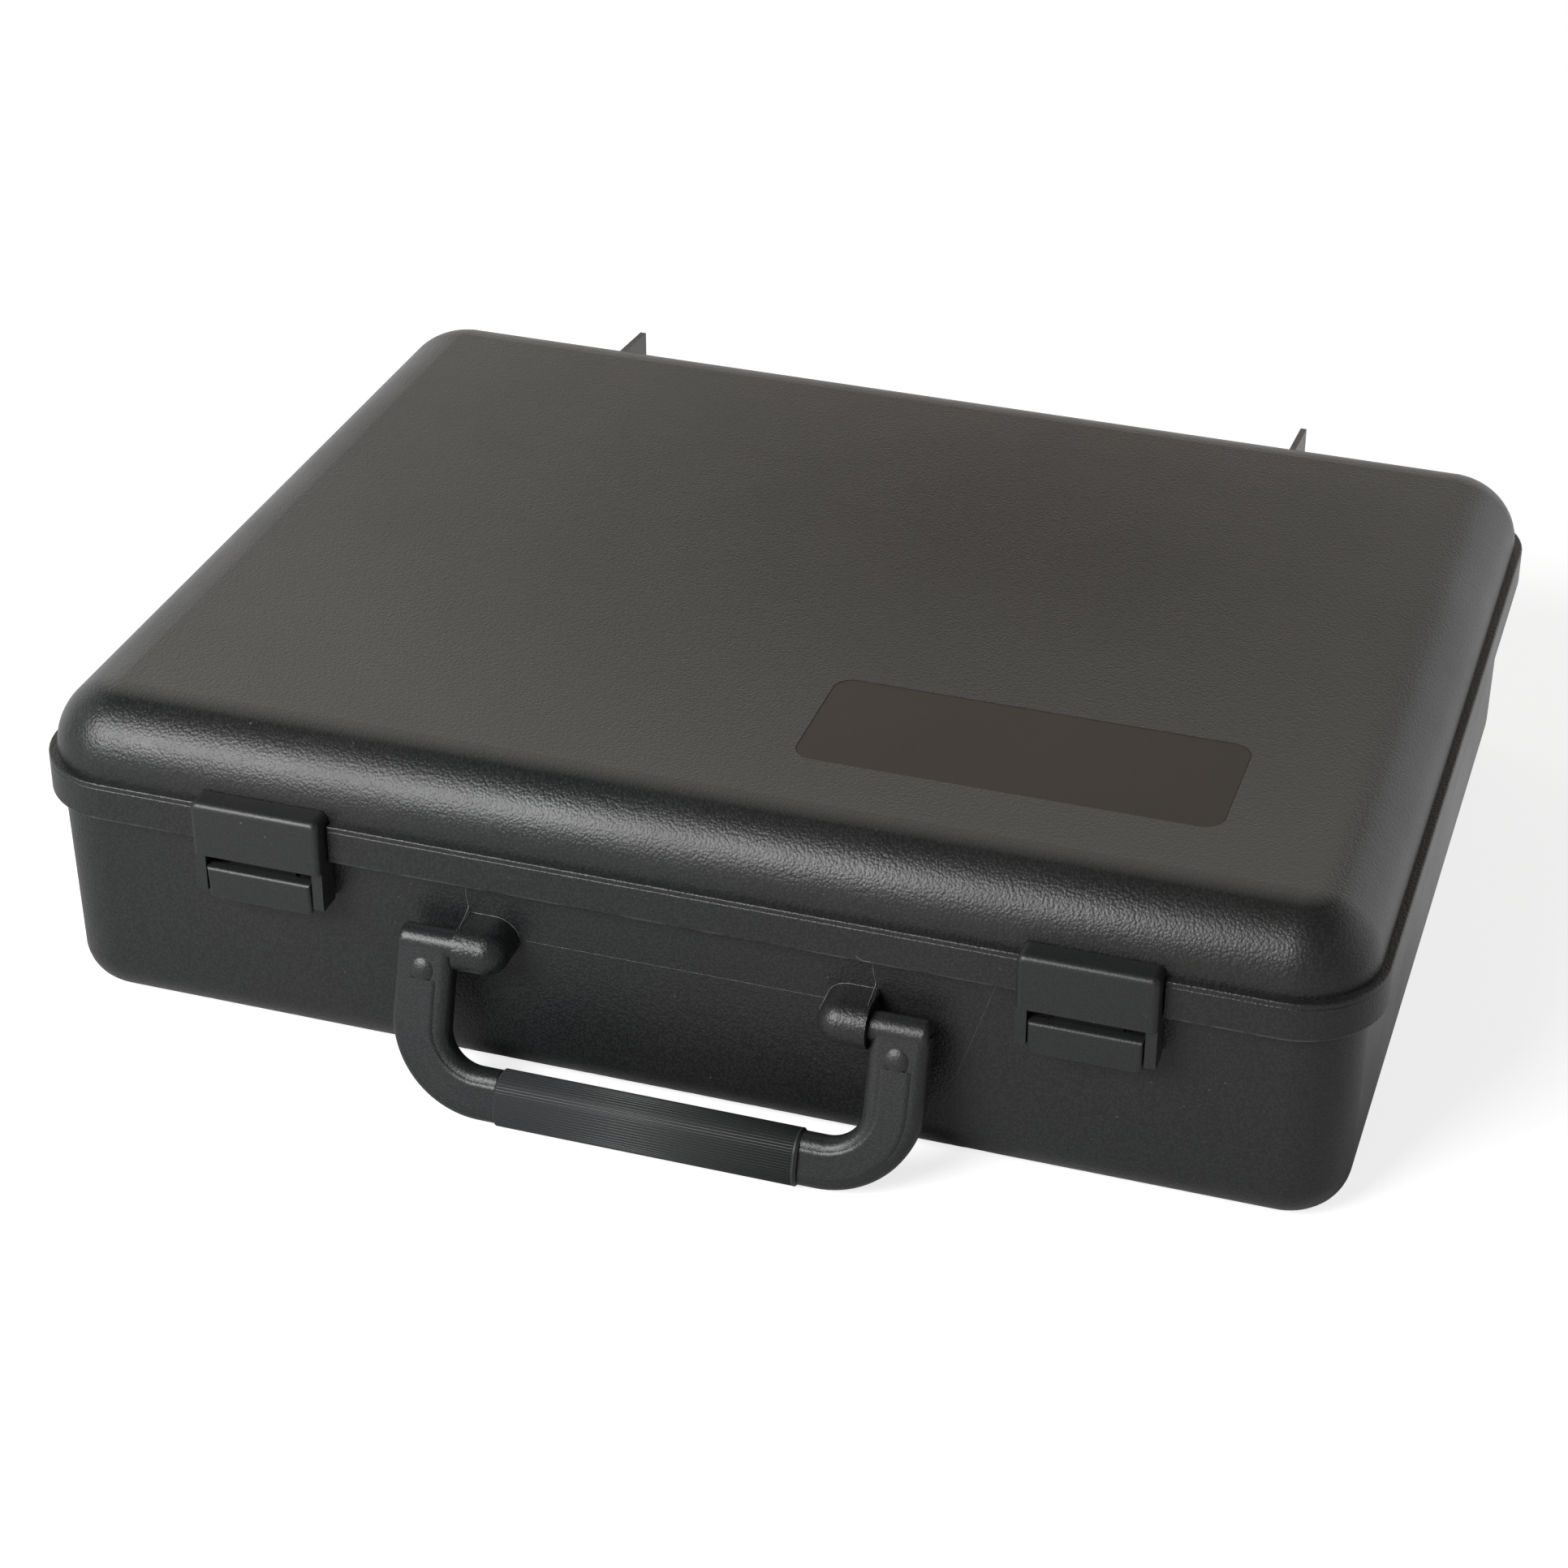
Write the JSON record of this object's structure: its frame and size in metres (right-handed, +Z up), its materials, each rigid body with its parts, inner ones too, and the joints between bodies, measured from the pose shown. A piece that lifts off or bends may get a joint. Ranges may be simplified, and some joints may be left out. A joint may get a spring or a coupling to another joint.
{
  "type": "tool case",
  "caption": "Flat rigid plastic carry case with a domed hinged lid, drop handle, over-centre latches and a lift-out compartment tray.",
  "frame": {"origin": "on the underside, under the middle of the closed case", "axes": "+Z up; +X along the length; the front with the handle and latches faces -Y, the hinges are at +Y"},
  "size_m": [0.39, 0.3204, 0.099],
  "materials": {
    "case_plastic": "fine pebbled grain, near-black moulded polypropylene",
    "handle_plastic": "satin, near-black",
    "grip_plastic": "fine lengthwise ribs, near-black",
    "latch_plastic": "satin, near-black",
    "label_plastic": "smooth matt, very dark brown-grey, blank",
    "tray_plastic": "satin, near-black moulded polypropylene",
    "pin_steel": "bright drawn steel"
  },
  "bodies": {
    "base": {"base_shell": "case_plastic", "hinge_pin_left": "pin_steel", "hinge_pin_right": "pin_steel", "latch_pin_left": "pin_steel", "latch_pin_right": "pin_steel"},
    "lid": {"lid_shell": "case_plastic", "label_plate": "label_plastic"},
    "handle": {"handle_frame": "handle_plastic", "handle_grip": "grip_plastic"},
    "lever_left": {"latch_lever_left": "latch_plastic"},
    "lever_right": {"latch_lever_right": "latch_plastic"},
    "hook_left": {"latch_hook_left": "latch_plastic"},
    "hook_right": {"latch_hook_right": "latch_plastic"},
    "tray": {"tool_tray": "tray_plastic", "tray_divider_1": "tray_plastic", "tray_divider_2": "tray_plastic", "tray_divider_3": "tray_plastic"}
  },
  "joints": [
    {"name": "lid_hinge", "type": "hinge", "parent": "base", "child": "lid", "pos_m": [0, 0.14945, 0.0755], "axis": [-1, 0, 0], "range_deg": [0, 105]},
    {"name": "handle_swing", "type": "hinge", "parent": "base", "child": "handle", "pos_m": [0, -0.1492, 0.0482], "axis": [-1, 0, 0], "range_deg": [-16.5, 125]},
    {"name": "tray_lift", "type": "slide", "parent": "base", "child": "tray", "axis": [0, 0, 1], "range_m": [0, 0.016]},
    {"name": "lever_left_pull", "type": "hinge", "parent": "base", "child": "lever_left", "pos_m": [-0.1194, -0.1466, 0.066], "axis": [-1, 0, 0], "range_deg": [0, 120]},
    {"name": "hook_left_tilt", "type": "hinge", "parent": "lever_left", "child": "hook_left", "pos_m": [-0.1194, -0.1456, 0.056], "axis": [1, 0, 0], "range_deg": [0, 144]},
    {"name": "lever_right_pull", "type": "hinge", "parent": "base", "child": "lever_right", "pos_m": [0.1194, -0.1466, 0.066], "axis": [-1, 0, 0], "range_deg": [0, 120]},
    {"name": "hook_right_tilt", "type": "hinge", "parent": "lever_right", "child": "hook_right", "pos_m": [0.1194, -0.1456, 0.056], "axis": [1, 0, 0], "range_deg": [0, 144]}
  ],
  "couplings": [
    {"joint": "hook_left_tilt", "follows": "lever_left_pull", "ratio": 1.2},
    {"joint": "hook_right_tilt", "follows": "lever_right_pull", "ratio": 1.2}
  ]
}
